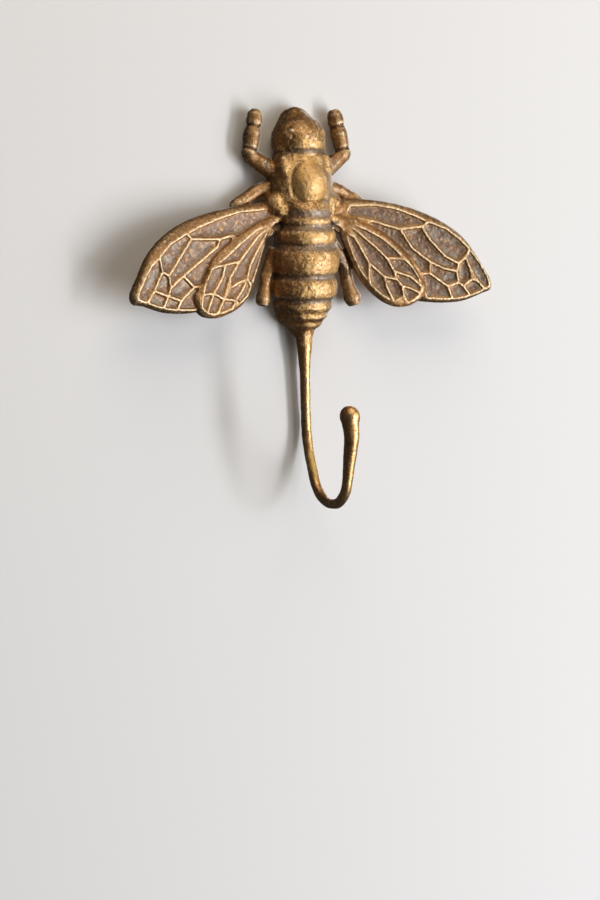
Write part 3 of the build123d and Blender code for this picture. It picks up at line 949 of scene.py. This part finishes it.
floor = stage_piece("floor", square(FLOOR_SIZE), Matrix.Translation((0.0, 0.0, -FLOOR_DROP)))
globe = bmesh.new()
bmesh.ops.create_icosphere(globe, subdivisions=BALL_FINENESS, radius=GLOBE_RADIUS)
backdrop = stage_piece("backdrop", globe, Matrix.Identity(4))
print("floor at", -FLOOR_DROP, "m, globe of", GLOBE_RADIUS, "m")

# %% [markdown]
# ## Board
# A hook is seen with something behind it, so a pale board stands just behind the bee and takes its shadow.
# It would hide the back from a camera behind it, so its material lets sight through on its far side.

# %% Board
BOARD_GAP, BOARD_SIZE = 0.4, 2.0


def clear_from_behind(material):
    """Lets sight through on the far side."""
    nodes, links = material.node_tree.nodes, material.node_tree.links
    side = nodes.new("ShaderNodeNewGeometry")
    clear = nodes.new("ShaderNodeBsdfTransparent")
    choice = nodes.new("ShaderNodeMixShader")
    links.new(side.outputs["Backfacing"], choice.inputs["Fac"])
    links.new(nodes["Principled BSDF"].outputs["BSDF"], choice.inputs[1])
    links.new(clear.outputs["BSDF"], choice.inputs[2])
    links.new(choice.outputs["Shader"], nodes["Material Output"].inputs["Surface"])


upright = Matrix.Rotation(math.radians(90.0), 4, "X")
board = stage_piece("board", square(BOARD_SIZE), Matrix.Translation((0.0, BOARD_GAP * MM, 0.0)) @ upright)
clear_from_behind(board.data.materials[0])
print("board faces", tuple(round(c, 2) for c in board.matrix_world.to_3x3() @ Vector((0, 0, 1))))

# %% [markdown]
# ## Light
# Brass shows what is around it, so the lamps draw its form. A large soft window stands to the right of the
# camera, with a tall narrow pane in it that is brighter and puts the glints on the ridges. A warm ceiling
# lights what faces up. A white card on the left fills in a little, a lamp behind is there for the back, and
# the rest of the room is dim, so the left flanks stay dark.

# %% Lamps and world
WORLD_LEVEL, WORLD_COLOUR = 0.06, (1.0, 0.99, 0.98, 1.0)
WARM_LIGHT = (1.0, 0.87, 0.68)
DAYLIGHT = (0.94, 0.96, 1.0)
WHITE_LIGHT = (1.0, 1.0, 1.0)
MIDDLE = Vector((0.0, 0.0, -30.0 * MM))


def lamp(name, azimuth, elevation, distance, size, power, colour=WHITE_LIGHT):
    """A soft lamp that faces the bee: degrees to the right and up from the front, metres and watts."""
    azimuth, elevation = math.radians(azimuth), math.radians(elevation)
    level = Vector((math.sin(azimuth), -math.cos(azimuth), 0.0)) * math.cos(elevation)
    away = level + Vector((0.0, 0.0, math.sin(elevation)))
    data = bpy.data.lights.new(name, "AREA")
    data.shape = "RECTANGLE"
    data.size, data.size_y = size
    data.energy = power
    data.color = colour
    thing = bpy.data.objects.new(name, data)
    thing.location = MIDDLE + distance * away
    thing.rotation_euler = away.to_track_quat("Z", "Y").to_euler()
    bpy.context.collection.objects.link(thing)
    print(name, "at", tuple(round(c, 2) for c in thing.location))


lamp("window", azimuth=38.0, elevation=-8.0, distance=1.6, size=(1.4, 1.6), power=15.0, colour=DAYLIGHT)
lamp("pane", azimuth=40.0, elevation=-20.0, distance=1.6, size=(0.18, 1.30), power=15.0, colour=DAYLIGHT)
lamp("ceiling", azimuth=0.0, elevation=58.0, distance=1.4, size=(1.3, 1.1), power=10.0, colour=WARM_LIGHT)
lamp("card", azimuth=-52.0, elevation=18.0, distance=1.5, size=(1.2, 1.0), power=0.4)
lamp("back_lamp", azimuth=132.0, elevation=14.0, distance=1.6, size=(1.4, 1.4), power=11.0)
world = bpy.data.worlds.new("studio")
world.use_nodes = True
room = world.node_tree.nodes["Background"]
room.inputs["Color"].default_value = WORLD_COLOUR
room.inputs["Strength"].default_value = WORLD_LEVEL
bpy.context.scene.world = world
bpy.context.scene.view_settings.view_transform = "Standard"
print("world level", WORLD_LEVEL)

# %% [markdown]
# ## Camera
# The camera stands to the left of the hook, about a metre away and a little below its head, looks slightly
# down and is tipped a touch, as a hand-held camera is. The lens is a mild telephoto.

# %% Camera
VIEW_AZIMUTH = math.radians(-28.0)
VIEW_PITCH = math.radians(3.913)
VIEW_ROLL = math.radians(2.16)
CAMERA_PLACE = Vector((-472.4, -885.9, -46.0)) * MM
LENS, SENSOR_WIDTH = 91.12, 36.0

level = Vector((-math.sin(VIEW_AZIMUTH), math.cos(VIEW_AZIMUTH), 0.0))
ahead = level * math.cos(VIEW_PITCH) - Vector((0.0, 0.0, math.sin(VIEW_PITCH)))
right = Vector((math.cos(VIEW_AZIMUTH), math.sin(VIEW_AZIMUTH), 0.0))
up = right.cross(ahead)
tipped_right = right * math.cos(VIEW_ROLL) - up * math.sin(VIEW_ROLL)
tipped_up = right * math.sin(VIEW_ROLL) + up * math.cos(VIEW_ROLL)
lens = bpy.data.cameras.new("camera")
lens.lens = LENS
lens.sensor_width = SENSOR_WIDTH
camera = bpy.data.objects.new("camera", lens)
turn = Matrix((tipped_right, tipped_up, -ahead)).transposed().to_4x4()
camera.matrix_world = Matrix.Translation(CAMERA_PLACE) @ turn
bpy.context.collection.objects.link(camera)
bpy.context.scene.camera = camera
print("camera looks along", tuple(round(c, 3) for c in ahead))
